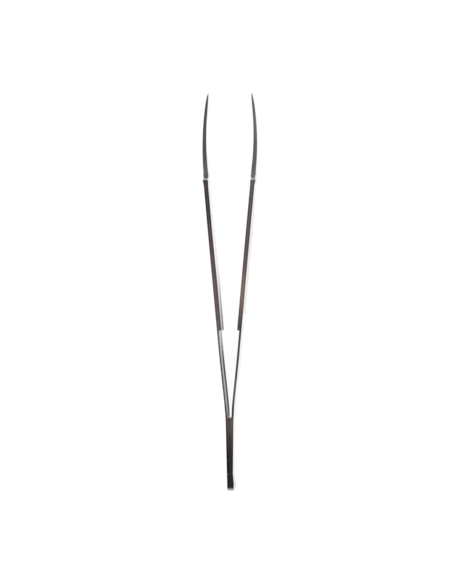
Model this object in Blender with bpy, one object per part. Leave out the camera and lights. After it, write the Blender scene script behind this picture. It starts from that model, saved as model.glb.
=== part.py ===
"""Curved aquascaping tweezers, lying on their side as on a table.

Two spring strips are stacked on a wedge-shaped spacer at the heel, riveted through and welded at the
end. Each strip runs forward as a thin spring leg and then as the outer layer of the grip. A stiffening
bar inside it makes the grip thick. A curved, pointed jaw sits on a brazed collar at the front of the
grip, with its tang held between the strip and the bar.

Frame: +Y runs along the tweezers to the tips, X is the direction in which they open, and +Z is up,
across the width of the strips. The origin is at the bottom centre of the whole object's box.

Lengths along the tweezers ("along") are counted from the heel end. Both arms are one design, built at
+X and mirrored to -X by the sign of x.
"""
import bpy
import bmesh
from math import cos, exp, pi, sin, sqrt

# Driving dimensions, in metres
LENGTH = 0.270              # heel end to points
WIDTH = 0.0096              # strips, across the edges they lie on
STRIP = 0.0016              # thickness of a spring strip
GRIP = 0.0031               # thickness of a whole grip, strip and bar
CLEARANCE = 0.00025         # gap between neighbours
EDGE = 0.00025              # rounding of the strips' long edges

# Stations along the tweezers
WELD_END = 0.0110
CROTCH = 0.0502
FLEX = 0.0755               # where the spring leg bends in the rigid-body model
STEP = 0.1086               # rear lip of the grip
TAPER_START = 0.160         # where the grip starts to narrow
GRIP_FRONT = 0.2108
COLLAR_FRONT = 0.2118
JAW_ROOT = COLLAR_FRONT + CLEARANCE

# Outer line of an arm: half the spread at the heel end, then its slope in each stretch
HEEL_HALF = 0.00195
HEEL_SLOPE = 0.01616
LEG_SLOPE = 0.10907
GRIP_SLOPE = 0.0915
BEND = (0.0384, 0.06748)    # the strip bends out of the heel here
EASE = (0.07787, 0.09858)   # and eases back a little into the grip
FLARE = 0.00042             # the grip's front end turns outwards by this
FLARE_LENGTH = 0.0045
INNER_FLARE = 0.00018       # and the bar's inner face thickens there by this

# Heel
CROTCH_DEPTH = 0.0007       # of the hollow in the spacer's front end
HEEL_WIDTH = 0.0082         # the strips' width just behind the crotch
HEEL_END_WIDTH = 0.0060
SHOULDER = (0.0495, 0.0585) # where the legs' full width is reached
HEEL_CORNER = 0.0025        # rounding of the heel end, seen on its broad face
BULGE = 0.00070             # proud weld metal on the +X side
RIVET_RADIUS = 0.0015
RIVET_ALONG = (0.0185, 0.0400)

# Grip
FRONT_WIDTH = 0.0076        # width of the grip at its front end
LIP = 0.0013                # rounding of the bar's rear lip
FLUTES = 4
FLUTE_DEPTH = 0.00025
FLUTED = (0.118, 0.200)
FLUTE_FADE = 0.004

# Jaw
JAW_RADIUS = 0.203          # the jaw's middle line is an arc, bowed outwards
JAW_APEX = 0.2375
JAW_SPREAD = 0.01763        # from the middle plane to that line at its widest
JAW_BODY = 0.00190          # thickness of the front of the jaw
ROOT_SWELL = 0.00155        # and what it gains towards its root
JAW_DEPTH = 0.00160         # the same, across the strips' width
DEPTH_SWELL = 0.0043
JAW_EDGE = 0.00045          # rounding of its long edges
POINT = 0.00028             # size of the point
ROOT_ROUND = 0.0017         # rounding of the jaw's root
TOOTH_PITCH = 0.0010
TOOTH_DEPTH = 0.00013
TOOTHED = (0.252, 0.268)

# Tang of the jaw, between strip and bar
TANG_LENGTH = 0.012
TANG_THICKNESS = 0.0007
TANG_HALF_WIDTH = 0.0020

MIDDLE = WIDTH / 2          # height of the middle of every piece


def ramp(along, start, end):
    """Distance gained by a slope that grows smoothly from 0 at start to 1 at end."""
    span = end - start
    u = min(max((along - start) / span, 0.0), 1.0)
    return span * (u**3 - u**4 / 2) + max(along - end, 0.0)


def smooth(value, start, end):
    """0 before start, 1 after end, and a smooth step between them."""
    u = min(max((value - start) / (end - start), 0.0), 1.0)
    return u * u * (3 - 2 * u)


def arm_line(along):
    """x of the arm's outer face, before the flare at the grip's front end."""
    x = HEEL_HALF + HEEL_SLOPE * along
    x += (LEG_SLOPE - HEEL_SLOPE) * ramp(along, *BEND)
    return x + (GRIP_SLOPE - LEG_SLOPE) * ramp(along, *EASE)


def arm_outer(along):
    return arm_line(along) + FLARE * smooth(along, GRIP_FRONT - FLARE_LENGTH, GRIP_FRONT)


def half_width(along):
    """Half the width of the strips: shouldered into the heel, and narrower at the grip's front."""
    heel = (WIDTH - HEEL_WIDTH) / 2 * (1 - smooth(along, *SHOULDER))
    heel += (HEEL_WIDTH - HEEL_END_WIDTH) / 2 * (1 - smooth(along, -0.010, CROTCH))
    front = (WIDTH - FRONT_WIDTH) / 2 * smooth(along, TAPER_START, GRIP_FRONT + 0.010)
    return WIDTH / 2 - heel - front


def flute(along, height):
    """Depth of the lengthwise flutes at a height from -1 to 1 across the strip."""
    start, end = FLUTED
    fade = smooth(along, start, start + FLUTE_FADE) * (1 - smooth(along, end - FLUTE_FADE, end))
    wave = sin(pi * FLUTES * (height + 1) / 2) ** 2
    return FLUTE_DEPTH * fade * wave


def arc(x, z, radius, first, last, steps):
    """Points on an arc, both ends included, with angles in quarter turns."""
    turns = [first + (last - first) * i / steps for i in range(steps + 1)]
    return [(x + radius * cos(t * pi / 2), z + radius * sin(t * pi / 2)) for t in turns]


def strip_ring(outer, inner, half, radius=EDGE, groove=None, rows=4 * FLUTES):
    """Ring of (x, z): up the outer face, over the top edge, down the inner face, under the bottom."""
    flat = half - radius
    ring = [(outer, MIDDLE - flat), (outer, MIDDLE + flat)]
    if groove:
        heights = [2 * i / rows - 1 for i in range(rows + 1)]
        ring = [(outer - groove(h), MIDDLE + h * flat) for h in heights]
    ring += arc(outer - radius, MIDDLE + flat, radius, 0, 1, 2)[1:]
    ring += arc(inner + radius, MIDDLE + flat, radius, 1, 2, 2)
    ring += arc(inner + radius, MIDDLE - flat, radius, 2, 3, 2)
    ring += arc(outer - radius, MIDDLE - flat, radius, 3, 4, 2)[:-1]
    return ring


def steps(start, end, count):
    return [start + (end - start) * i / count for i in range(count + 1)]


def material(name, colour, roughness):
    steel = bpy.data.materials.new(name)
    steel.use_nodes = True
    shader = steel.node_tree.nodes["Principled BSDF"]
    shader.inputs["Base Color"].default_value = (*colour, 1)
    shader.inputs["Roughness"].default_value = roughness
    shader.inputs["Metallic"].default_value = 1
    return steel


def add_object(name, bm, finish, parent=None):
    """Put the mesh in an object whose origin is on its parent's, or on the world's."""
    bm.normal_update()
    bmesh.ops.recalc_face_normals(bm, faces=bm.faces)
    mesh = bpy.data.meshes.new(name)
    origin = parent.location if parent else None
    if origin is not None:
        bmesh.ops.translate(bm, verts=bm.verts, vec=-origin)
    bm.to_mesh(mesh)
    bm.free()
    mesh.shade_smooth()
    mesh.set_sharp_from_angle(angle=pi / 6)
    mesh.materials.append(finish)
    obj = bpy.data.objects.new(name, mesh)
    obj.parent = parent
    bpy.context.collection.objects.link(obj)
    return obj


def loft(rings, stations, side):
    """Skin rings of (x, z) at their stations along the tweezers, and close both ends."""
    bm = bmesh.new()
    loops = []
    for ring, along in zip(rings, stations):
        y = along - LENGTH / 2
        loops.append([bm.verts.new((side * x, y, z)) for x, z in ring])
    for first, second in zip(loops, loops[1:]):
        for i in range(len(first)):
            j = (i + 1) % len(first)
            bm.faces.new((first[i], first[j], second[j], second[i]))
    bm.faces.new(loops[0])
    bm.faces.new(loops[-1])
    return bm


def cylinder_across(along, radius, half_length):
    """A cylinder along X, through the heel."""
    bm = bmesh.new()
    bmesh.ops.create_cone(
        bm, cap_ends=True, segments=28, radius1=radius, radius2=radius, depth=2 * half_length
    )
    for vert in bm.verts:
        x, y, z = vert.co
        vert.co = (z, y + along - LENGTH / 2, MIDDLE - x)
    return bm


def cut(obj, cutter, operation="DIFFERENCE"):
    boolean = obj.modifiers.new(cutter.name, "BOOLEAN")
    boolean.object = cutter
    boolean.operation = operation
    boolean.solver = "EXACT"


def as_cutter(obj):
    obj.hide_render = True
    obj.display_type = "WIRE"
    return obj


def tang_strip(side, name, finish, rivet_holes):
    """Rear half of a spring strip: flat in the heel, then bent outwards at the crotch."""
    stations = steps(WELD_END + CLEARANCE, BEND[0], 4) + steps(BEND[0] + 0.0016, SHOULDER[0] - 0.001, 5)
    stations += steps(*SHOULDER, 7) + steps(SHOULDER[1] + 0.002, FLEX - 0.00015, 7)
    rings = [strip_ring(arm_outer(a), arm_outer(a) - STRIP, half_width(a)) for a in stations]
    strip = add_object(name, loft(rings, stations, side), finish)
    for hole in rivet_holes:
        cut(strip, hole)


def leaf(side, name, finish, pivot):
    """Front half of a spring strip: the leg, then the fluted outer layer of the grip."""
    stations = steps(FLEX + 0.00015, EASE[1], 8) + steps(FLUTED[0], FLUTED[0] + FLUTE_FADE, 3)
    stations += steps(0.130, TAPER_START, 3) + steps(0.168, 0.192, 4)
    stations += steps(FLUTED[1] - FLUTE_FADE, FLUTED[1], 3) + steps(0.205, GRIP_FRONT, 5)
    rings = [
        strip_ring(
            arm_outer(a),
            arm_outer(a) - STRIP,
            half_width(a),
            groove=lambda h, a=a: flute(a, h),
        )
        for a in stations
    ]
    add_object(name, loft(rings, stations, side), finish, pivot)


def grip_bar(side, name, finish, pivot, pocket):
    """Stiffening bar inside the grip, with a rounded rear lip and a pocket for the jaw's tang."""
    lip = [STEP + LIP * (1 - cos(pi / 2 * i / 5)) for i in range(6)]
    stations = lip + steps(0.115, TAPER_START, 3) + steps(0.168, GRIP_FRONT - FLARE_LENGTH, 5)
    stations += steps(GRIP_FRONT - 0.003, GRIP_FRONT, 3)
    rings = []
    for a in stations:
        outer = arm_outer(a) - STRIP - CLEARANCE
        back = max(1 - (a - STEP) / LIP, 0.0)
        thickness = (GRIP - STRIP - CLEARANCE) * (0.35 + 0.65 * sqrt(1 - back * back))
        inner = arm_line(a) - STRIP - CLEARANCE - thickness
        inner -= INNER_FLARE * smooth(a, GRIP_FRONT - FLARE_LENGTH, GRIP_FRONT)
        rings.append(strip_ring(outer, inner, half_width(a), radius=0.0002))
    bar = add_object(name, loft(rings, stations, side), finish, pivot)
    cut(bar, pocket)


def tang_loft(side, start, end, outer_gap, inner_gap, half):
    """A bar that follows the arm's line at the depth of the jaw's tang."""
    stations = steps(start, end, 4)
    rings = []
    for a in stations:
        outer = arm_line(a) - STRIP - CLEARANCE + outer_gap
        inner = arm_line(a) - STRIP - CLEARANCE - TANG_THICKNESS - inner_gap
        low, high = MIDDLE - half, MIDDLE + half
        rings.append([(outer, low), (outer, high), (inner, high), (inner, low)])
    return loft(rings, stations, side)


def collar(side, name, finish, pivot, pocket):
    """Brazed collar between grip and jaw: the grip's section in front, shouldered down to the jaw's."""
    stations = [GRIP_FRONT + CLEARANCE, GRIP_FRONT + 0.0006, COLLAR_FRONT - 0.0003, COLLAR_FRONT]
    shrink = [0.00005, 0.00015, 0.0009, 0.0013]
    rings = []
    for a, less in zip(stations, shrink):
        outer = arm_outer(GRIP_FRONT) + GRIP_SLOPE * (a - GRIP_FRONT) - 0.35 * less
        inner = arm_line(a) - GRIP + 0.25 * less
        rings.append(strip_ring(outer, inner, FRONT_WIDTH / 2 - 0.7 * less, radius=0.0004))
    obj = add_object(name, loft(rings, stations, side), finish, pivot)
    cut(obj, pocket)


def jaw_ring(along, valley):
    """Rounded rectangle round the jaw. Its inner side is a little lower in the valleys of the teeth."""
    u = (LENGTH - along) / (LENGTH - JAW_ROOT)
    taper = 1 - exp(-u / 0.07)
    thickness = POINT + (JAW_BODY - POINT) * taper + ROOT_SWELL * u**1.3
    depth = POINT + (JAW_DEPTH - POINT) * taper + DEPTH_SWELL * u**2.4
    back = max(1 - (along - JAW_ROOT) / ROOT_ROUND, 0.0)
    thickness *= 0.45 + 0.55 * sqrt(1 - back * back)
    middle = JAW_SPREAD - JAW_RADIUS + sqrt(JAW_RADIUS**2 - (along - JAW_APEX) ** 2)
    inner = middle - thickness / 2 + (TOOTH_DEPTH if valley else 0)
    radius = min(JAW_EDGE, 0.4 * thickness, 0.45 * depth)
    return strip_ring(middle + thickness / 2, inner, depth / 2, radius)


def jaw(side, name, finish, pivot):
    """Curved, pointed jaw with a rounded root, toothed inside its tip, and its tang."""
    root = [JAW_ROOT + ROOT_ROUND * (1 - cos(pi / 2 * i / 4)) for i in range(5)]
    body = steps(0.217, TOOTHED[0], 9)
    count = round((TOOTHED[1] - TOOTHED[0]) / (TOOTH_PITCH / 2))
    teeth = steps(*TOOTHED, count)[1:]
    point = [0.2688, 0.2694, 0.2698, LENGTH]
    stations = root + body + teeth + point
    valleys = [False] * len(root + body) + [i % 2 == 0 for i in range(len(teeth))] + [False] * len(point)
    rings = [jaw_ring(a, valley) for a, valley in zip(stations, valleys)]
    obj = add_object(name, loft(rings, stations, side), finish, pivot)
    start = GRIP_FRONT - TANG_LENGTH
    tang_mesh = tang_loft(side, start, JAW_ROOT + 0.001, 0, 0, TANG_HALF_WIDTH)
    tang = as_cutter(add_object(name + "_tang", tang_mesh, finish, pivot))
    cut(obj, tang, "UNION")


def arm(side, name, finishes, rivet_holes):
    """All pieces of one arm. Those in front of the flex line hang on an empty at its pivot."""
    pivot = bpy.data.objects.new(name + "_pivot", None)
    pivot.location = (side * (arm_outer(FLEX) - STRIP / 2), FLEX - LENGTH / 2, MIDDLE)
    bpy.context.collection.objects.link(pivot)
    start = GRIP_FRONT - TANG_LENGTH - CLEARANCE
    pocket_mesh = tang_loft(
        side, start, JAW_ROOT + 0.001, 0.0007, CLEARANCE, TANG_HALF_WIDTH + CLEARANCE
    )
    pocket = as_cutter(add_object(name + "_pocket", pocket_mesh, finishes["bar"], pivot))
    tang_strip(side, name + "_tang_strip", finishes["strip"], rivet_holes)
    leaf(side, name + "_spring_leaf", finishes["strip"], pivot)
    grip_bar(side, name + "_grip_bar", finishes["bar"], pivot, pocket)
    collar(side, name + "_braze_collar", finishes["braze"], pivot, pocket)
    jaw(side, name + "_jaw", finishes["jaw"], pivot)


def heel_spacer(finish, rivet_holes):
    """Wedge between the strips, with a hollow front end that makes the round crotch."""
    stations = steps(WELD_END + CLEARANCE, CROTCH, 8)
    rings = []
    for a in stations:
        half_thickness = arm_line(a) - STRIP - CLEARANCE
        rings.append(strip_ring(half_thickness, -half_thickness, half_width(a), radius=0.00015))
    spacer = add_object("heel_spacer", loft(rings, stations, 1), finish)
    for hole in rivet_holes:
        cut(spacer, hole)
    bm = bmesh.new()
    radius = arm_line(CROTCH) - STRIP - CLEARANCE - 0.0002
    bmesh.ops.create_cone(
        bm, cap_ends=True, segments=24, radius1=radius, radius2=radius, depth=2 * WIDTH
    )
    bottom = CROTCH - CROTCH_DEPTH - LENGTH / 2
    bmesh.ops.translate(bm, verts=bm.verts, vec=(0, bottom + radius, MIDDLE))
    cut(spacer, as_cutter(add_object("crotch_cutter", bm, finish)))


def heel_weld(finish):
    """Fused end of the heel, with rounded corners and weld metal standing proud on the +X side."""
    corner = [HEEL_CORNER * (1 - cos(pi / 2 * i / 6)) for i in range(7)]
    stations = corner + steps(0.0035, WELD_END, 6)
    rings = []
    for a in stations:
        back = max(1 - a / HEEL_CORNER, 0.0)
        half = half_width(a) - HEEL_CORNER * (1 - sqrt(1 - back * back))
        outer = arm_line(a) - 0.0002 * back**4
        proud = BULGE * (1 - smooth(a, 0.0045, WELD_END + 0.001)) * smooth(a, -0.003, 0.002)
        rings.append(strip_ring(outer + proud, -outer, half))
    add_object("heel_weld", loft(rings, stations, 1), finish)


def rivet(name, along, finish):
    """Rivet through the heel stack, dressed flush on both sides."""
    bm = cylinder_across(along, RIVET_RADIUS, arm_line(along) - 0.00005)
    add_object(name, bm, finish)


def main():
    for old in list(bpy.data.objects):
        bpy.data.objects.remove(old)
    finishes = {
        "strip": material("spring_strip_steel", (0.42, 0.40, 0.39), 0.22),
        "bar": material("grip_bar_steel", (0.40, 0.37, 0.36), 0.25),
        "jaw": material("jaw_steel", (0.44, 0.42, 0.42), 0.28),
        "braze": material("silver_braze", (0.78, 0.76, 0.73), 0.30),
        "spacer": material("spacer_steel", (0.34, 0.31, 0.30), 0.35),
        "rivet": material("rivet_steel", (0.50, 0.48, 0.46), 0.30),
    }
    names = ("heel_rivet_rear", "heel_rivet_front")
    holes = []
    for name, along in zip(names, RIVET_ALONG):
        hole = cylinder_across(along, RIVET_RADIUS + CLEARANCE, 2 * WIDTH)
        holes.append(as_cutter(add_object(name + "_hole", hole, finishes["rivet"])))
        rivet(name, along, finishes["rivet"])
    heel_spacer(finishes["spacer"], holes)
    heel_weld(finishes["spacer"])
    arm(1, "right", finishes, holes)
    arm(-1, "left", finishes, holes)


main()
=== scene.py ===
"""Long steel tweezers for planting aquariums, lying on edge on a white table."""

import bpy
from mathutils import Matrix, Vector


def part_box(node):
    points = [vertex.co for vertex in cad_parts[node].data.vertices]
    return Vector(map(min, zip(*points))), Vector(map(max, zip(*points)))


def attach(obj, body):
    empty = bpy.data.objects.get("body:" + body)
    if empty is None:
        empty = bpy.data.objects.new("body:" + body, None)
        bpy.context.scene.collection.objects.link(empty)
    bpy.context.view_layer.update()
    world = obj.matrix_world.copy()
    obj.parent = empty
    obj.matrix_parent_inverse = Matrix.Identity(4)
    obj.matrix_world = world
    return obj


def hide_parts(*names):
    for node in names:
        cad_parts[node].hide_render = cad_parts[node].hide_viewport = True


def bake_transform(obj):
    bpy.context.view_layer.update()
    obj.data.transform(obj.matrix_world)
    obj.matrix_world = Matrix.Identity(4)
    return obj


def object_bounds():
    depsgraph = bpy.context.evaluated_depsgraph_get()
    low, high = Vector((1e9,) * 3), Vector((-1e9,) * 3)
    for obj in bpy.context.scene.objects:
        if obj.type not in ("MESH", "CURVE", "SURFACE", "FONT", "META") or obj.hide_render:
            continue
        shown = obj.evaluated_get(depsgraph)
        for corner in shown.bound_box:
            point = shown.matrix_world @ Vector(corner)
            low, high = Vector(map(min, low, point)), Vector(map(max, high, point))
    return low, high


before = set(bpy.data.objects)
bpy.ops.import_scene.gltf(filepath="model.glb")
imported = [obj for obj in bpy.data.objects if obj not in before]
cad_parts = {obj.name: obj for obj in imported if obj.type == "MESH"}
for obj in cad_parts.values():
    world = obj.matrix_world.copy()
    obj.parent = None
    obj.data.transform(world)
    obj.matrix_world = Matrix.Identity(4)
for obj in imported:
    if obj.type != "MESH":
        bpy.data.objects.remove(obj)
cad_box = [list(corner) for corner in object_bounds()]

import math

import bpy
import numpy as np
from mathutils import Matrix, Vector

# The part's own sizes, in metres. Along runs from the heel end to the points.
LENGTH = cad_box[1][1] - cad_box[0][1]
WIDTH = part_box("left_spring_leaf")[1].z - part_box("left_spring_leaf")[0].z
MIDDLE = WIDTH / 2
STRIP = 0.0016              # thickness of a spring strip
GRIP = 0.0031               # thickness of a whole grip, strip and bar
EDGE = 0.00008              # rounding of the long edges
EASED = 0.00075             # and of the left leg's inner edges, which were buffed much rounder
END_ROUND = 0.00012         # rounding of the ends of strips and bars
SEAM = 0.00003              # hair gap between neighbouring pieces
FAR = 1.0                   # an end this far beyond a piece leaves that end square

# Stations along the tweezers
WELD_END = 0.0110
CROTCH = 0.0502
STEP = 0.1086               # rear lip of the grip
TAPER_START = 0.160         # where the grip starts to narrow
GRIP_FRONT = 0.2108
JAW_ROOT = 0.21195

# Outer line of an arm: half the spread at the heel end, then its slope in each stretch
HEEL_HALF = 0.00195
HEEL_SLOPE = 0.01616
LEG_SLOPE = 0.10907
GRIP_SLOPE = 0.0915
BEND = (0.0384, 0.06748)    # the strip bends out of the heel here
EASE = (0.07787, 0.09858)   # and eases back a little into the grip
FLARE = 0.00042             # the grip's front end turns outwards by this
FLARE_LENGTH = 0.0045
INNER_FLARE = 0.00018       # and the bar's inner face thickens there by this

# Heel
CROTCH_DEPTH = 0.0007       # of the hollow in the spacer's front end
HEEL_WIDTH = 0.0082         # the strips' width just behind the crotch
HEEL_END_WIDTH = 0.0060
SHOULDER = (0.0495, 0.0585)  # where the legs' full width is reached
HEEL_CORNER = 0.0025        # rounding of the heel end, seen on its broad face
BULGE = 0.00070             # proud weld metal on the +X side
RIPPLE = 0.00003            # height of the ripples across it
RIPPLE_PITCH = 0.0011
RIPPLE_BOW = 0.0012         # how far a ripple runs back at the bead's sides
CROWN = 0.00018             # how much lower the bead is at its sides
BEAD_FADE = (0.0045, WELD_END + 0.001)      # it dies away into the heel here
BEAD_START = (-0.003, 0.002)                # and starts before the heel's very end
END_ROLL = 0.0002           # the heel end's faces roll in by this
RIVET_RADIUS = 0.0015
RIVET_ALONG = (0.0185, 0.0400)
RIVET_PROUD = 0.000045
RIVET_DOME = 0.00007

# Grip
FRONT_WIDTH = 0.0076        # width of the grip at its front end
LIP = 0.0013                # rounding of the bar's rear lip
LIP_SHARE = 0.35            # share of the bar's thickness that the lip starts with
BELLY = 0.00026             # the left bar is thicker by this in one place
BELLY_ALONG = 0.142
BELLY_LENGTH = 0.018
FLUTES = 4
FLUTE_DEPTH = 0.00025
FLUTED = (0.118, 0.200)
FLUTE_FADE = 0.004

# Collar
FILLET_LENGTH = 0.0022      # from the jaw's root forwards
SHOULDER_CURVE = 1.1        # powers that the top and the bottom follow
FILLET_CURVE = 0.8
SHOULDER_DROP = 0.00030     # each side face comes in by this over the shoulder
FILLET_DROP = (0.00055, 0.00060)    # and by this over the fillet, outside and inside
SHOULDER_SINK = 0.00086     # the same for the top and the bottom
FILLET_SINK = 0.00085
COLLAR_EDGE = 0.0004

# Jaw
JAW_RADIUS = 0.203          # the jaw's middle line is an arc, bowed outwards
JAW_APEX = 0.2375
JAW_SPREAD = 0.01763        # from the middle plane to that line at its widest
JAW_BODY = 0.00190          # thickness of the front of the jaw
ROOT_SWELL = 0.00155        # and what it gains towards its root
ROOT_POWER = 1.3
JAW_DEPTH = 0.00160         # the same, across the strips' width
DEPTH_SWELL = 0.0043
DEPTH_POWER = 2.4
POINT_SHARE = 0.07          # share of the jaw in which the point fills out
JAW_EDGE = 0.00010
POINT = 0.00028
ROOT_ROUND = 0.0017         # rounding of the left jaw's root
RIGHT_ROUND = (0.0021, 0.0010)      # and of the right jaw's, outside and inside
ROOT_SHARE = 0.45           # share of the jaw's thickness that its rounded root starts with
ROOT_LUG = 0.00030          # each root is left a little wider on one side
LEFT_LUG_END = 0.2175       # and narrows to the jaw's own line here
RIGHT_LUG_END = 0.2185
BURR = 0.00034              # low lump on the outside of the right jaw
BURR_ALONG = 0.2147
BURR_LENGTH = 0.0009
DRAWN_IN = 0.00012          # the left jaw stands closer in by this
DRAWN_OVER = (0.002, 0.012)     # from nothing to all of it, behind the point
POINT_INSET = 0.00009       # the point's end face is smaller by this all round
TOOTH_PITCH = 0.0010
TOOTH_DEPTH = 0.00013
TOOTHED = (0.252, 0.268)

# Patterns in the steel, as noise scales: waves per metre
GRAIN = (110.0, 7500.0)     # grinding lines, along and across a piece
CROSS_GRAIN = (9000.0, 160.0)
STRAYS = (260.0, 5200.0)    # stray scratches, a little askew to the grain
STRAY_ANGLE = 0.12
CLOUDS = (85.0, 85.0, 85.0)
PATCHES = (420.0, 160.0, 420.0)
PITS = (2600.0, 2600.0, 2600.0)

# Heights above the table up to which painted shade darkens the inner faces
PAINTED_SHADE_TOP = 0.0080           # painted shade low in the crotch
PAINTED_SHADE_LINE = 0.0046          # painted shade along the lower half of the grip


# ---------------------------------------------------------------- shapes along the tweezers

def ramp(along, start, end):
    """Distance gained by a slope that grows smoothly from 0 at start to 1 at end."""
    span = end - start
    u = np.clip((along - start) / span, 0, 1)
    return span * (u**3 - u**4 / 2) + np.maximum(along - end, 0)


def smooth(value, start, end):
    """0 before start, 1 after end, and 3u2 - 2u3 between them."""
    u = np.clip((value - start) / (end - start), 0, 1)
    return u * u * (3 - 2 * u)


def arm_line(along):
    """x of an arm's outer face: a slope along the heel, a steeper one along the leg, eased at the grip."""
    x = HEEL_HALF + HEEL_SLOPE * along + (LEG_SLOPE - HEEL_SLOPE) * ramp(along, *BEND)
    return x + (GRIP_SLOPE - LEG_SLOPE) * ramp(along, *EASE)


def arm_outer(along):
    """The same with the small outward flare at the front end of the grip."""
    return arm_line(along) + FLARE * smooth(along, GRIP_FRONT - FLARE_LENGTH, GRIP_FRONT)


def half_width(along):
    """Half the strips' width: shouldered into the heel, then drawn in towards both ends."""
    heel = (WIDTH - HEEL_WIDTH) / 2 * (1 - smooth(along, *SHOULDER))
    heel = heel + (HEEL_WIDTH - HEEL_END_WIDTH) / 2 * (1 - smooth(along, -0.010, CROTCH))
    front = (WIDTH - FRONT_WIDTH) / 2 * smooth(along, TAPER_START, GRIP_FRONT + 0.010)
    return WIDTH / 2 - heel - front


def bell(along, centre, width):
    """1 at the centre, dying away on both sides as exp(-d2) of the distance over the width."""
    return np.exp(-(((along - centre) / width) ** 2))


def flute(along, height):
    """Depth of the lengthwise flutes: sine squared across the strip, faded at both ends."""
    start, end = FLUTED
    fade = smooth(along, start, start + FLUTE_FADE) * (1 - smooth(along, end - FLUTE_FADE, end))
    return FLUTE_DEPTH * fade * np.sin(np.pi * FLUTES * (height + 1) / 2) ** 2


def places(start, end, spacing, radius, *more):
    """Places along a piece: even steps of spacing, and a quarter circle's steps at each rounded end."""
    quarter = radius * (1 - np.cos(np.linspace(0, np.pi / 2, 7)))
    body = np.linspace(start + radius, end - radius, max(int((end - start) / spacing), 3))
    return np.unique(np.round(np.concatenate((start + quarter, body, end - quarter, *more)), 7))[:, None]


def flare_places():
    """Close places where the grip's front end flares."""
    return np.linspace(GRIP_FRONT - FLARE_LENGTH - 0.0008, GRIP_FRONT - END_ROUND, 25)


def inset(along, start, end, radius):
    """How far a section shrinks at a rounded end: the drop of a quarter circle of that radius."""
    distance = np.minimum(along - start, end - along)
    return radius - np.sqrt(radius**2 - np.clip(radius - distance, 0, radius) ** 2)


class Ring:
    """A rounded rectangle as arrays: which corner a point belongs to, its direction there, and its wear.

    A point is centre + (half - radius) * corner + radius * direction. The ring starts in the middle
    of the bottom, goes up the outer side, and point j mirrors point -j. Each flat has that many rows,
    with its outermost ones at the share hold from its rounded edges.
    """

    def __init__(self, side_rows, end_rows, corner_steps=5, hold=0.06):
        side = self.rows(side_rows, hold)
        end = self.rows(end_rows, hold)
        end = np.unique(np.append(end, 0.0))
        turn = np.linspace(0, np.pi / 2, corner_steps + 1)
        low_end, high_end = end[end >= 0], end[::-1]
        parts = []
        for corner, (x, z) in enumerate(((1, -1), (1, 1), (-1, 1), (-1, -1))):
            angle = turn + (corner - 1) * np.pi / 2
            parts.append(np.stack((x + 0 * turn, z + 0 * turn, np.cos(angle), np.sin(angle), 1 + 0 * turn)))
        flats = {
            "low_end": np.stack((low_end, -1 + 0 * low_end, 0 * low_end, -1 + 0 * low_end, 0 * low_end)),
            "outer": np.stack((1 + 0 * side, side, 1 + 0 * side, 0 * side, 0 * side)),
            "top": np.stack((high_end, 1 + 0 * end, 0 * end, 1 + 0 * end, 0 * end)),
            "inner": np.stack((-1 + 0 * side, side[::-1], -1 + 0 * side, 0 * side, 0 * side)),
            "back": np.stack((-low_end[:0:-1], -1 + 0 * low_end[1:], 0 * low_end[1:], -1 + 0 * low_end[1:],
                              0 * low_end[1:])),
        }
        order = (flats["low_end"], parts[0], flats["outer"], parts[1], flats["top"], parts[2],
                 flats["inner"], parts[3], flats["back"])
        self.cx, self.cz, self.nx, self.nz, self.rim = np.concatenate(order, axis=1)[:, None, :]
        self.outer = (self.nx > 0.999).astype(float)
        self.inner = (self.nx < -0.999).astype(float)
        self.facing = self.nx

    @staticmethod
    def rows(count, hold):
        """Rows across a flat, with one close to each rounded edge so that the flat stays flat."""
        inside = np.linspace(-1, 1, count + 1)[1:-1]
        return np.unique(np.concatenate(([-1 + hold], inside, [1 - hold])))

    def spread(self, outer, inner, half, radius):
        """x and z of every point for sections given by their outer x, inner x and half height."""
        middle, thick = (outer + inner) / 2, (outer - inner) / 2
        radius = np.minimum(radius + 0 * self.cx, 0.98 * np.minimum(thick, half))
        x = middle + (thick - radius) * self.cx + radius * self.nx
        z = MIDDLE + (half - radius) * self.cz + radius * self.nz
        return x, z


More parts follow.
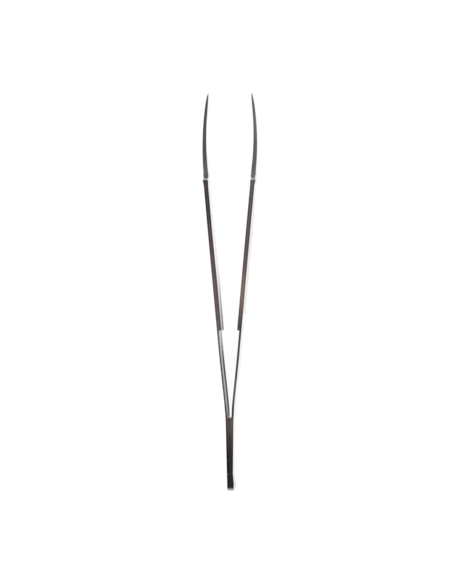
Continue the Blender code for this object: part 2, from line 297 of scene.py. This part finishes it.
def skin(name, x, along, z, rim, facing, side=1):
    """Joins rings of points into one closed skin, and caps both ends with strips between mirrored points.

    The UV map "surface" holds the distance along and the distance round, in metres. The attribute
    "rim" is 1 on rounded edges and 0 on flats, and "facing" goes from -1 inwards to 1 outwards.
    """
    x, along, z, rim, facing = np.broadcast_arrays(x, along, z, rim, facing)
    count, around = x.shape
    points = np.stack((side * x, along - LENGTH / 2, z), axis=2)
    loop = np.concatenate((points, points[:, :1]), axis=1)
    reach = np.linalg.norm(np.diff(loop, axis=1), axis=2)
    v = np.concatenate((np.zeros((count, 1)), np.cumsum(reach, axis=1)), axis=1)
    u = np.concatenate((along, along[:, :1]), axis=1)
    i, j = np.meshgrid(np.arange(count - 1), np.arange(around), indexing="ij")
    corners = ((i, j), (i, j + 1), (i + 1, j + 1), (i + 1, j))
    quads = np.stack([a * around + b % around for a, b in corners], axis=2).reshape(-1, 4)
    quad_uv = np.stack([np.stack((u[a, b], v[a, b]), axis=2) for a, b in corners], axis=2)
    quad_uv = quad_uv.reshape(-1, 4, 2)
    a = np.arange(1, around // 2 - 1)
    cap = np.stack((a, a + 1, around - a - 1, around - a), axis=1)
    tips = np.array([[0, 1, around - 1], [around // 2 - 1, around // 2, around // 2 + 1]])
    last = (count - 1) * around
    faces = quads.tolist() + cap[:, ::-1].tolist() + tips[:, ::-1].tolist()
    faces += (cap + last).tolist() + (tips + last).tolist()
    cloud = points.reshape(-1, 3)
    first, second, third, fourth = (cloud[quads[:, k]] for k in range(4))
    volume = np.einsum("ij,ij->i", first, np.cross(second, third) + np.cross(third, fourth)).sum()
    flip = volume < 0
    mesh = bpy.data.meshes.new(name)
    mesh.from_pydata(cloud.tolist(), [], [face[::-1] for face in faces] if flip else faces)
    corner_count = len(mesh.loops)
    uv = np.zeros((corner_count, 2))
    uv[: quads.size] = (quad_uv[:, ::-1] if flip else quad_uv).reshape(-1, 2)
    ends = np.zeros(corner_count, np.int32)
    mesh.loops.foreach_get("vertex_index", ends)
    uv[quads.size:] = cloud[ends[quads.size:]][:, [0, 2]]
    mesh.uv_layers.new(name="surface").data.foreach_set("uv", uv.ravel())
    for label, values in (("rim", rim), ("facing", facing)):
        attribute = mesh.attributes.new(label, "FLOAT", "POINT")
        attribute.data.foreach_set("value", values.ravel().astype(np.float32))
    mesh.shade_smooth()
    mesh.update()
    obj = bpy.data.objects.new(name, mesh)
    bpy.context.scene.collection.objects.link(obj)
    return obj


# ---------------------------------------------------------------- shader maths

class Wire:
    """A socket in a node tree. Arithmetic on it adds Math nodes, and node() adds any other kind."""

    def __init__(self, tree, socket=None):
        self.tree, self.socket = tree, socket

    def node(self, kind, settings=(), values=(), output=0):
        """Adds a node of that kind: its settings first, then the values or links of its sockets."""
        made = self.tree.nodes.new("ShaderNode" + kind)
        for key, value in dict(settings).items():
            setattr(made, key, value)
        for key, value in dict(values).items():
            if isinstance(value, Wire):
                self.tree.links.new(value.socket, made.inputs[key])
            else:
                made.inputs[key].default_value = value
        return Wire(self.tree, made.outputs[output])

    def math(self, operation, *values):
        """A Math node on these values or links."""
        return self.node("Math", {"operation": operation}, dict(enumerate(values)))

    def __add__(self, other):
        return self.math("ADD", self, other)

    def __sub__(self, other):
        return self.math("SUBTRACT", self, other)

    def __rsub__(self, other):
        return self.math("SUBTRACT", other, self)

    def __mul__(self, other):
        return self.math("MULTIPLY", self, other)

    def __pow__(self, power):
        return self.math("POWER", self, power)

    __radd__ = __add__
    __rmul__ = __mul__

    def step(self, start, end):
        """0 below start, 1 above end, and a smooth step between them."""
        return self.node("MapRange", {"interpolation_type": "SMOOTHSTEP"},
                         {"Value": self, "From Min": start, "From Max": end})

    def at_most(self, limit):
        """This, but never more than the limit."""
        return self.math("MINIMUM", self, limit)

    def between(self, low, high):
        """This, but never below low or above high."""
        return self.node("Clamp", {}, {"Value": self, "Min": low, "Max": high})

    def mix(self, colour_a, colour_b):
        """From colour a to colour b by this factor."""
        return self.node("Mix", {"data_type": "RGBA"}, {0: self, 6: colour_a, 7: colour_b}, output=2)

    def scaled(self, colour):
        """A colour times this brightness."""
        return self.node("VectorMath", {"operation": "SCALE"}, {0: colour, "Scale": self})

    def stretched(self, x, y, z=1.0):
        """This vector times (x, y, z)."""
        return self.node("VectorMath", {"operation": "MULTIPLY"}, {0: self, 1: (x, y, z)})

    def noise(self, detail=2.0, roughness=0.5):
        """Fractal noise from 0 to 1 at this vector."""
        return self.node("TexNoise", {}, {"Vector": self, "Scale": 1.0, "Detail": detail,
                                          "Roughness": roughness})


def rgb(red, green, blue):
    """A colour as the nodes take it."""
    return (red, green, blue, 1.0)


class Steel(Wire):
    """Ground and polished steel: fine lengthwise grain, cloudy polish, stray scratches and worn edges."""

    def __init__(self, name, tint, stain, roughness, grain=1.0, cross=False):
        self.material = bpy.data.materials.new(name)
        self.material.use_nodes = True
        super().__init__(self.material.node_tree)
        self.shader = self.tree.nodes["Principled BSDF"]
        self.shader.inputs["Metallic"].default_value = 1.0
        self.tint, self.stain, self.grain, self.roughness = tint, stain, grain, roughness
        self.surface = self.node("UVMap", {"uv_map": "surface"})
        self.place = self.node("TexCoord", output="Object")
        self.x, self.y, self.z = (self.node("SeparateXYZ", {}, {0: self.place}, output=k) for k in "XYZ")
        self.rim = self.node("Attribute", {"attribute_name": "rim"}, output="Fac")
        facing = self.node("Attribute", {"attribute_name": "facing"}, output="Fac")
        self.outer = facing.step(0.3, 0.9)
        self.inner = (-1.0 * facing).step(0.3, 0.9)
        lengthwise, crosswise = CROSS_GRAIN if cross else GRAIN
        self.fine = self.surface.stretched(lengthwise, crosswise).noise(2.0)
        self.broad = self.surface.stretched(lengthwise / 4, crosswise / 7).noise(3.0)
        self.cloud = self.place.stretched(*CLOUDS).noise(4.0, 0.6)
        self.patch = self.place.stretched(*PATCHES).noise(3.0, 0.55)
        stray = self.node("VectorRotate", {"rotation_type": "Z_AXIS"},
                          {"Vector": self.surface, "Angle": STRAY_ANGLE})
        self.scratch = stray.stretched(*STRAYS).noise(1.0).step(0.66, 0.76)
        self.pits = self.place.stretched(*PITS).noise(1.0).step(0.70, 0.80)
        self.hues = []
        self.shade = 0.85 + 0.18 * self.fine + 0.12 * self.broad
        self.shade = self.shade * (1.0 - 0.25 * self.pits) * (1.0 + 0.12 * self.rim)

    def near(self, centre, width):
        """1 at a place along the tweezers, falling to a half at that width away: 1 / (1 + d2)."""
        away = (self.y - centre) * (1 / width)
        return (1.0 + away * away) ** -1.0

    def band(self, centre, width, amount):
        """Paints a stretch of the ground edges lighter or darker, as painted highlight or painted shade,
        most at its centre.
        """
        self.shade = self.shade * (1.0 + amount * self.near(centre, width))

    def hue(self, centre, width, colour):
        """Paints a tint of reflected light onto a stretch of the ground edges, most at its centre."""
        self.hues.append((self.near(centre, width), rgb(*colour)))

    def heel(self, depth):
        """Paints shade on the ground edges, darker towards the heel end."""
        self.shade = self.shade * ((1.0 - depth) + depth * self.y.step(-0.118, -0.068))

    def lay(self, bands, hues=()):
        """Lays several bands of painted light and shade and painted tints, each given by its place, its
        width, and its amount or colour.
        """
        for band in bands:
            self.band(*band)
        for hue in hues:
            self.hue(*hue)

    def finish(self, polish=(0.74, 0.73, 0.72), height=4.0e-6, painted_shade=None):
        """Joins the patterns to the shader, and lays a dark film of painted shade over it where that is
        given.
        """
        ground = self.cloud.step(0.35, 0.75).mix(rgb(*self.tint), rgb(*self.stain))
        for amount, colour in self.hues:
            ground = amount.mix(ground, colour)
        ground = self.shade.scaled(ground)
        bright = 0.86 + 0.12 * self.fine + 0.16 * self.broad - 0.12 * self.pits - 0.10 * self.scratch
        bright = (bright * (1.02 - 0.12 * self.cloud.step(0.45, 0.75))).scaled(polish)
        faces = (self.outer + self.inner).at_most(1.0)
        self.join("Base Color", faces.mix(ground, bright))
        self.join("Coat Weight", faces)
        self.shader.inputs["Coat IOR"].default_value = 1.8
        self.shader.inputs["Coat Roughness"].default_value = 0.08
        rough = self.roughness + self.grain * (0.10 * self.fine + 0.06 * self.broad - 0.08)
        rough = rough + 0.14 * (self.cloud - 0.5) + 0.12 * self.scratch + 0.10 * self.pits
        rough = rough - 0.05 * self.rim - 0.05 * faces
        self.join("Roughness", rough.between(0.06, 0.7))
        relief = 0.6 * self.grain * self.fine + 0.8 * self.grain * self.broad
        relief = relief + 0.9 * self.patch - 0.7 * self.scratch - 1.2 * self.pits
        bump = self.node("Bump", {}, {"Strength": 0.7, "Distance": height, "Height": relief})
        self.join("Normal", bump)
        # Painted shade: a dark film mixed over the metal where it is given.
        if painted_shade is not None:
            shade_film = self.node("BsdfPrincipled", {}, {"Base Color": rgb(0.035, 0.030, 0.028),
                                                    "Roughness": 0.55, "Specular IOR Level": 0.05})
            cover = (painted_shade * (0.75 + 0.5 * self.broad)).at_most(0.95)
            metal = Wire(self.tree, self.shader.outputs[0])
            layered = self.node("MixShader", {}, {0: cover, 1: metal, 2: shade_film})
            output = self.tree.nodes["Material Output"]
            self.tree.links.new(layered.socket, output.inputs["Surface"])
        return self.material

    def join(self, socket, wire):
        """Links a wire to that socket of the metal's shader."""
        self.tree.links.new(wire.socket, self.shader.inputs[socket])


def strip_finish(name, heel_shade_depth, bands, hues):
    """Spring strip: mirror outside, painted shade on the ground edges at the heel, and painted shade as a
    dark film low on the inner face in the crotch.
    """
    steel = Steel(name, (0.60, 0.555, 0.550), (0.52, 0.47, 0.465), 0.20)
    steel.heel(heel_shade_depth)
    steel.lay(bands, hues)
    # Painted shade: a dark film over the lower inner face, heaviest behind the crotch.
    low = (PAINTED_SHADE_TOP - steel.z).step(-0.0006, 0.0010)
    thick = 0.95 - 0.50 * steel.y.step(-0.050, -0.020)
    return steel.finish(polish=(0.80, 0.79, 0.78), painted_shade=steel.inner * low * thick)


def bar_finish(name, bands, hues):
    """Grip bar: ground edges, and painted shade over the inner face, heavier towards the rear lip and along
    its lower half."""
    steel = Steel(name, (0.56, 0.485, 0.470), (0.48, 0.41, 0.395), 0.22)
    steel.lay(bands, hues)
    # Painted shade over the inner face: heavier towards the rear lip, and along the lower half.
    painted_rear_shade = 0.50 - 0.50 * steel.y.step(-0.030, 0.024)
    line = 0.32 - 0.32 * steel.y.step(-0.020, 0.040)
    low = (PAINTED_SHADE_LINE - steel.z).step(-0.0008, 0.0010)
    return steel.finish(polish=(0.72, 0.71, 0.70), painted_shade=steel.inner * (painted_rear_shade + low * line))


def jaw_finish(name, level, bands):
    """Jaw: satin ground, with long polished sides."""
    # level scales the jaw's colour as painted light: below one darkens it, above one lightens it.
    tint, stain = (tuple(level * part for part in colour)
                   for colour in ((0.54, 0.545, 0.565), (0.47, 0.47, 0.49)))
    steel = Steel(name, tint, stain, 0.26, grain=1.3)
    steel.lay(bands)
    return steel.finish()


def make_finishes():
    """All finishes. Left and right differ a little in painted light and shade.

    A band is a place from the middle, a width, and how much lighter or darker it is painted, as painted
    highlight or painted shade. A hue is a place, a width and a colour of painted reflected light.
    """
    # Bands of painted shade along the left grip, and of painted highlight and painted shade along the right
    # arm.
    left = [(0.062, 0.026, -0.48)]
    right = [(0.000, 0.010, 0.60), (-0.023, 0.006, -0.42), (0.028, 0.012, -0.12),
             (0.076, 0.004, 0.25)]
    # Painted reflection tints: a warm one near the middle of the right arm, and a grey one further forward.
    warm_reflection_tint, grey_reflection_tint = (0.62, 0.475, 0.45), (0.52, 0.53, 0.535)
    hues = [(-0.004, 0.010, warm_reflection_tint), (0.072, 0.009, grey_reflection_tint)]
    # A band of painted highlight near the heel, painted shade behind the crotch, and painted shade along
    # the left leg.
    painted_heel_highlight = (-0.092, 0.006, 0.45)
    heel = [(-0.046, 0.009, -0.30), painted_heel_highlight]
    left_leg_painted_shade = [(-0.066, 0.010, -0.20)]
    made = {
        # Painted shade at the heel, deeper on the left strip than on the right.
        "left_strip": strip_finish("left_strip_polished", 0.86, left + left_leg_painted_shade, []),
        "right_strip": strip_finish("right_strip_polished", 0.66, right + heel, hues),
        "left_bar": bar_finish("left_bar_ground", left, []),
        "right_bar": bar_finish("right_bar_ground", right, hues),
        # The left jaw is painted darker and the right one lighter, each with bands of painted highlight.
        "left_jaw": jaw_finish("left_jaw_satin", 0.82, [(0.0815, 0.0035, 0.45)]),
        "right_jaw": jaw_finish("right_jaw_satin", 1.10,
                                [(0.117, 0.009, 0.45), (0.0795, 0.002, 0.30)]),
    }
    braze = Steel("silver_braze_dressed", (0.60, 0.585, 0.565), (0.52, 0.49, 0.45), 0.28, grain=0.4)
    made["braze"] = braze.finish(height=1.0e-5)
    spacer = Steel("heel_stack_ground", (0.46, 0.39, 0.37), (0.38, 0.32, 0.31), 0.28)
    # Painted shade towards the heel end, and a band of painted highlight.
    spacer.heel(0.72)
    spacer.lay([painted_heel_highlight])
    made["spacer"] = spacer.finish()
    weld = Steel("heel_weld_dressed", (0.42, 0.385, 0.375), (0.33, 0.31, 0.32), 0.30, grain=0.5)
    # Painted shade over the weld, lighter on the +X side. It is left off the last millimetre of the end,
    # which stays bright as a painted highlight.
    weld_painted_shade = 0.76 - 0.16 * weld.x.step(-0.002, 0.002)
    weld.shade = weld.shade * (1.0 - weld_painted_shade * weld.y.step(-0.1338, -0.1326))
    made["weld"] = weld.finish(polish=(0.66, 0.64, 0.63), height=1.2e-5)
    rivet = Steel("rivet_end_ground", (0.58, 0.56, 0.54), (0.48, 0.46, 0.45), 0.24, cross=True)
    made["rivet"] = rivet.finish(polish=(0.50, 0.49, 0.48))
    return made


# ---------------------------------------------------------------- pieces

def spring_strip(side, name):
    """One strip from the weld to the grip's front: the arm's line, less the flutes on its outer face.

    The inner edges of the left one are rounder along the leg, from the crotch to the grip's lip.
    """
    start, end = WELD_END + SEAM, GRIP_FRONT
    ring = Ring(side_rows=48, end_rows=6)
    margin, ease = 0.001, 0.003
    fades = [np.linspace(place - margin, place + FLUTE_FADE + margin, 25)
             for place in (FLUTED[0], FLUTED[1] - FLUTE_FADE)]
    along = places(start, end, 0.0007, END_ROUND, np.linspace(*BEND, 60), *fades, flare_places())
    less = inset(along, start, end, END_ROUND)
    outer, inner = arm_outer(along) - less, arm_outer(along) - STRIP + less
    leg = smooth(along, CROTCH - ease, CROTCH + ease)
    leg = leg * (1 - smooth(along, STEP - ease, STEP - 0.0005))
    edge = EDGE + (EASED - EDGE) * leg * (ring.cx < 0) * (side < 0)
    x, z = ring.spread(outer, inner, half_width(along) - less, edge)
    groove = flute(along, (z - MIDDLE) / (half_width(along) - EDGE))
    x = x - ring.outer * groove
    return skin(name, x, along, z, np.maximum(ring.rim, less / END_ROUND), ring.facing, side)


def grip_bar(side, name):
    """Bar inside the grip: its thickness swells by a quarter ellipse from the rear lip, and the left
    one has a slight belly in the shape of a bell curve."""
    start, end = STEP, GRIP_FRONT
    ring = Ring(side_rows=16, end_rows=8)
    lip = STEP + LIP * (1 - np.cos(np.linspace(0, np.pi / 2, 17)))
    along = places(start, end, 0.0009, END_ROUND, lip, flare_places())
    less = inset(along, start - FAR, end, END_ROUND)
    back = np.clip(1 - (along - STEP) / LIP, 0, 1)
    thick = (GRIP - STRIP) * (LIP_SHARE + (1 - LIP_SHARE) * np.sqrt(1 - back**2))
    if side < 0:
        thick = thick + BELLY * bell(along, BELLY_ALONG, BELLY_LENGTH)
    outer = arm_outer(along) - STRIP - SEAM - less
    inner = arm_line(along) - STRIP - thick + less
    inner = inner - INNER_FLARE * smooth(along, GRIP_FRONT - FLARE_LENGTH, GRIP_FRONT)
    x, z = ring.spread(outer, inner, half_width(along) - less, EDGE)
    return skin(name, x, along, z, np.maximum(ring.rim, less / END_ROUND), ring.facing, side)


def braze_collar(side, name):
    """Collar of braze: a straight shoulder from the grip's section down to the jaw's, then a fillet."""
    start, end = GRIP_FRONT + SEAM, JAW_ROOT + FILLET_LENGTH
    ring = Ring(side_rows=12, end_rows=10)
    along = places(start, end, 0.00012, 0.00008)
    shoulder = np.clip((along - start) / (JAW_ROOT - start), 0, 1)
    beyond = np.clip((along - JAW_ROOT) / (end - JAW_ROOT), 0, 1)
    base_outer = arm_outer(np.full(1, GRIP_FRONT)) + GRIP_SLOPE * (along - GRIP_FRONT)
    base_inner = arm_line(along) - GRIP - INNER_FLARE
    outer = base_outer - SHOULDER_DROP * shoulder - FILLET_DROP[0] * beyond
    inner = base_inner + SHOULDER_DROP * shoulder + FILLET_DROP[1] * beyond
    half = FRONT_WIDTH / 2 - SEAM - SHOULDER_SINK * shoulder**SHOULDER_CURVE
    half = half - FILLET_SINK * beyond**FILLET_CURVE
    x, z = ring.spread(outer, inner, half, COLLAR_EDGE)
    return skin(name, x, along, z, 0.3 * ring.rim, ring.facing, side)


def jaw_section(along, side):
    """Outer x, inner x and half height of a jaw: an arc of radius 203 mm with a thickness that
    dies away as an exponential at the point and swells as a power of the distance to the root.

    The root is rounded by a quarter ellipse and a little wider on one side. The right jaw has a low
    lump there, in the shape of a bell curve, and the left one stands closer in behind its point.
    """
    u = (LENGTH - along) / (LENGTH - JAW_ROOT)
    taper = 1 - np.exp(-u / POINT_SHARE)
    thick = POINT + (JAW_BODY - POINT) * taper + ROOT_SWELL * u**ROOT_POWER
    depth = POINT + (JAW_DEPTH - POINT) * taper + DEPTH_SWELL * u**DEPTH_POWER
    middle = JAW_SPREAD - JAW_RADIUS + np.sqrt(JAW_RADIUS**2 - (along - JAW_APEX) ** 2)
    rounds = RIGHT_ROUND if side > 0 else (ROOT_ROUND, ROOT_ROUND)
    reach = [ROOT_SHARE + (1 - ROOT_SHARE) * np.sqrt(1 - np.clip(1 - (along - JAW_ROOT) / size, 0, 1) ** 2)
             for size in rounds]
    outer, inner = middle + thick / 2 * reach[0], middle - thick / 2 * reach[1]
    if side > 0:
        outer = outer + BURR * bell(along, BURR_ALONG, BURR_LENGTH)
        inner = inner + ROOT_LUG * (1 - smooth(along, JAW_ROOT, RIGHT_LUG_END))
    else:
        drawn = DRAWN_IN * smooth(LENGTH - along, *DRAWN_OVER)
        outer = outer - drawn + ROOT_LUG * (1 - smooth(along, JAW_ROOT, LEFT_LUG_END))
        inner = inner - drawn
    return outer, inner, depth / 2


def jaw(side, name):
    """One jaw, with rounded teeth across the inner side of its tip: a cosine wave to the power 0.7."""
    start, end, radius = JAW_ROOT + SEAM, LENGTH, 0.00010
    ring = Ring(side_rows=10, end_rows=10, corner_steps=6)
    root = start + RIGHT_ROUND[0] * (1 - np.cos(np.linspace(0, np.pi / 2, 15)))
    teeth = np.arange(TOOTHED[0], TOOTHED[1], TOOTH_PITCH / 10)
    tip = np.linspace(TOOTHED[1] - 0.0005, LENGTH - radius, 16)
    along = places(start, end, 0.0006, radius, root, teeth, tip)
    less = np.minimum(inset(along, start, end, radius), POINT_INSET)
    outer, inner, half = jaw_section(along, side)
    corner = np.minimum(JAW_EDGE, 0.4 * np.minimum(outer - inner, 2 * half))
    x, z = ring.spread(outer - less, inner + less, half - less, corner)
    wave = 0.5 - 0.5 * np.cos(2 * np.pi * (along - TOOTHED[0]) / TOOTH_PITCH)
    inside = (along > TOOTHED[0]) & (along < TOOTHED[1])
    x = x + ring.inner * inside * TOOTH_DEPTH * wave**0.7
    return skin(name, x, along, z, np.maximum(ring.rim, less / radius), ring.facing, side)


def heel_spacer(name):
    """Wedge between the strips. Its front end is hollowed by a half ellipse, which makes the crotch.

    A point keeps its share of the way from the rear end to that curved front end. The ring is turned
    by a quarter here, so that its sides carry the many rows that the hollow needs.
    """
    start, radius, span = WELD_END + SEAM, 0.00010, 0.039
    ring = Ring(side_rows=36, end_rows=8)
    share = places(0.0, 1.0, 0.012, 0.0, np.linspace(0.95, 1.0, 16))
    hollow = arm_line(np.full(1, CROTCH)) - STRIP - SEAM - radius
    guess = start + (CROTCH - start) * share
    half_thick = arm_line(guess) - STRIP - SEAM
    less = inset(share * span, -FAR, span, radius)
    half = half_width(guess) - less
    z = MIDDLE + (half - radius) * ring.cx + radius * ring.nx
    x = (half_thick - radius) * ring.cz + radius * ring.nz
    front = CROTCH - CROTCH_DEPTH * np.sqrt(np.clip(1 - (x / hollow) ** 2, 0, None))
    along = start + (front - start) * share
    return skin(name, x, along, z, np.maximum(ring.rim, less / radius), 0)


def heel_weld(name):
    """Fused heel end: corners rounded by a quarter circle, and a bead proud of the +X side. The bead
    is crowned by the square of the height, and its ripples are a sine wave along it, bowed likewise."""
    start, end, radius = 0.0, WELD_END, 0.00025
    ring = Ring(side_rows=24, end_rows=18)
    corner = HEEL_CORNER * (1 - np.cos(np.linspace(0, np.pi / 2, 22)))
    along = places(start, end, 0.00018, radius, corner)
    less = inset(along, start, end + FAR, radius)
    back = np.clip(1 - along / HEEL_CORNER, 0, 1)
    half = half_width(along) - HEEL_CORNER * (1 - np.sqrt(1 - back**2))
    outer = arm_line(along) - END_ROLL * back**4
    proud = BULGE * (1 - smooth(along, *BEAD_FADE)) * smooth(along, *BEAD_START)
    x, z = ring.spread(outer + proud - less, less - outer, half, EDGE + END_ROLL * back)
    height = (z - MIDDLE) / half
    crest = np.sin(2 * np.pi * (along + RIPPLE_BOW * height**2) / RIPPLE_PITCH)
    x = x + np.clip(ring.nx, 0, 1) * proud / BULGE * (RIPPLE * crest - CROWN * height**2)
    return skin(name, x, along, z, np.maximum(0.6 * ring.rim, less / radius), np.abs(ring.facing))


def rivet(name, along):
    """Rivet through the heel: a circle carried across the heel. Its ends are very slightly domed, by
    the fourth power of the distance from their middle."""
    steps = 9
    reach = arm_line(np.full(1, along)).item() + RIVET_PROUD
    dome = np.sin(np.linspace(0, np.pi / 2, steps))
    radius = np.concatenate((RIVET_RADIUS * dome, [RIVET_RADIUS] * 2, RIVET_RADIUS * dome[::-1]))
    radius = np.maximum(radius, 0.0001)[:, None]
    drop = RIVET_DOME * (np.concatenate((dome, [1, 1], dome[::-1])) ** 4)
    sign = np.concatenate((-np.ones(steps), [-1, 1], np.ones(steps)))
    x = (sign * (reach - drop))[:, None]
    x[steps, 0], x[steps + 1, 0] = -reach * 0.9, reach * 0.9
    turn = np.linspace(0, 2 * np.pi, 48, endpoint=False)[None, :] - np.pi / 2
    rim = (radius > 0.9 * RIVET_RADIUS) * 1.0
    return skin(name, x, along + radius * np.cos(turn), MIDDLE + radius * np.sin(turn), rim, 1)


def place_piece(piece, finish, nodes, body=None):
    """Gives a piece its finish, hides the CAD nodes it stands for, and attaches it to the body it rides on,
    where a body is given."""
    piece.data.materials.append(finish)
    if body:
        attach(piece, body)
    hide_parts(*nodes)


finishes = make_finishes()
for side, hand in ((-1, "left"), (1, "right")):
    arm = f"{hand}_arm"
    strip = spring_strip(side, f"{hand}_strip")
    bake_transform(strip)
    place_piece(strip, finishes[f"{hand}_strip"],
                [f"{hand}_tang_strip", f"{hand}_spring_leaf"])
    place_piece(grip_bar(side, f"{hand}_bar"), finishes[f"{hand}_bar"],
                [f"{hand}_grip_bar"], arm)
    place_piece(braze_collar(side, f"{hand}_collar"), finishes["braze"],
                [f"{hand}_braze_collar"], arm)
    place_piece(jaw(side, f"{hand}_jaw_ground"), finishes[f"{hand}_jaw"], [f"{hand}_jaw"], arm)
place_piece(heel_spacer("spacer"), finishes["spacer"], ["heel_spacer"], "heel")
place_piece(heel_weld("weld"), finishes["weld"], ["heel_weld"], "heel")
for name, along in zip(("rear", "front"), RIVET_ALONG):
    place_piece(rivet(f"rivet_{name}", along), finishes["rivet"], [f"heel_rivet_{name}"], "heel")


# ---------------------------------------------------------------- table, light and camera

def table():
    """A wide flat sheet under the tweezers."""
    size, level = 4.0, -1e-5
    mesh = bpy.data.meshes.new("table")
    corners = [(-size, -size, level), (size, -size, level), (size, size, level), (-size, size, level)]
    mesh.from_pydata(corners, [], [(0, 1, 2, 3)])
    obj = bpy.data.objects.new("table", mesh)
    bpy.context.scene.collection.objects.link(obj)
    material = bpy.data.materials.new("white_table")
    material.use_nodes = True
    tree = Wire(material.node_tree)
    shader = material.node_tree.nodes["Principled BSDF"]
    grain = tree.node("TexCoord", output="Object").stretched(900.0, 900.0, 900.0).noise(3.0)
    material.node_tree.links.new((0.50 + 0.2 * grain).socket, shader.inputs["Roughness"])
    material.node_tree.links.new((0.985 + 0.02 * grain).scaled((0.17, 0.17, 0.17)).socket,
                                 shader.inputs["Base Color"])
    shader.inputs["Specular IOR Level"].default_value = 0.0
    shader.inputs["Emission Color"].default_value = (1.0, 1.0, 1.0, 1.0)
    shader.inputs["Emission Strength"].default_value = 0.94
    mesh.materials.append(material)


def studio():
    """Bright walls with a darker belt just above the horizon, which the side faces mirror, and a dim,
    warm ceiling with a lighter stretch over the legs and another beyond the points."""
    world = bpy.data.worlds.new("studio")
    bpy.context.scene.world = world
    world.use_nodes = True
    tree = Wire(world.node_tree)
    direction = tree.node("TexCoord", output="Generated")
    height = tree.node("SeparateXYZ", {}, {0: direction}, output="Z")
    lengthwise = tree.node("SeparateXYZ", {}, {0: direction}, output="Y")
    ceiling = 0.07 + 0.23 * lengthwise.step(-0.12, -0.035) - 0.21 * lengthwise.step(-0.015, 0.05)
    ceiling = ceiling + 0.10 * lengthwise.step(0.07, 0.14)
    walls = 1.30 - 0.80 * height.step(0.06, 0.24) + 0.45 * height.step(0.40, 0.60)
    walls = walls - 0.35 * height.step(0.60, 0.80)
    overhead = height.step(0.78, 0.91)
    radiance = walls + overhead * (ceiling - walls)
    background = world.node_tree.nodes["Background"]
    colour = overhead.mix(rgb(1.0, 1.0, 1.0), rgb(1.0, 0.86, 0.83))
    world.node_tree.links.new(radiance.socket, background.inputs["Strength"])
    world.node_tree.links.new(colour.socket, background.inputs["Color"])


def camera():
    """A long lens 2 m above the tweezers, leaning 11 degrees to the right."""
    lean, roll, distance = math.radians(11), 0.0024, 2.0
    back = Vector((math.sin(lean), 0, math.cos(lean)))
    right = Vector((math.cos(lean), -roll, -math.sin(lean))).normalized()
    up = back.cross(right)
    data = bpy.data.cameras.new("camera")
    data.lens = 181.5
    data.sensor_width = 36.0
    data.clip_end = 50.0
    obj = bpy.data.objects.new("camera", data)
    bpy.context.scene.collection.objects.link(obj)
    target = Vector((-0.00304, -0.0002, MIDDLE))
    turn = Matrix((right, up, back)).transposed().to_4x4()
    obj.matrix_world = Matrix.Translation(target + distance * back) @ turn
    bpy.context.scene.camera = obj


table()
studio()
camera()
bpy.context.scene.view_settings.view_transform = "Standard"
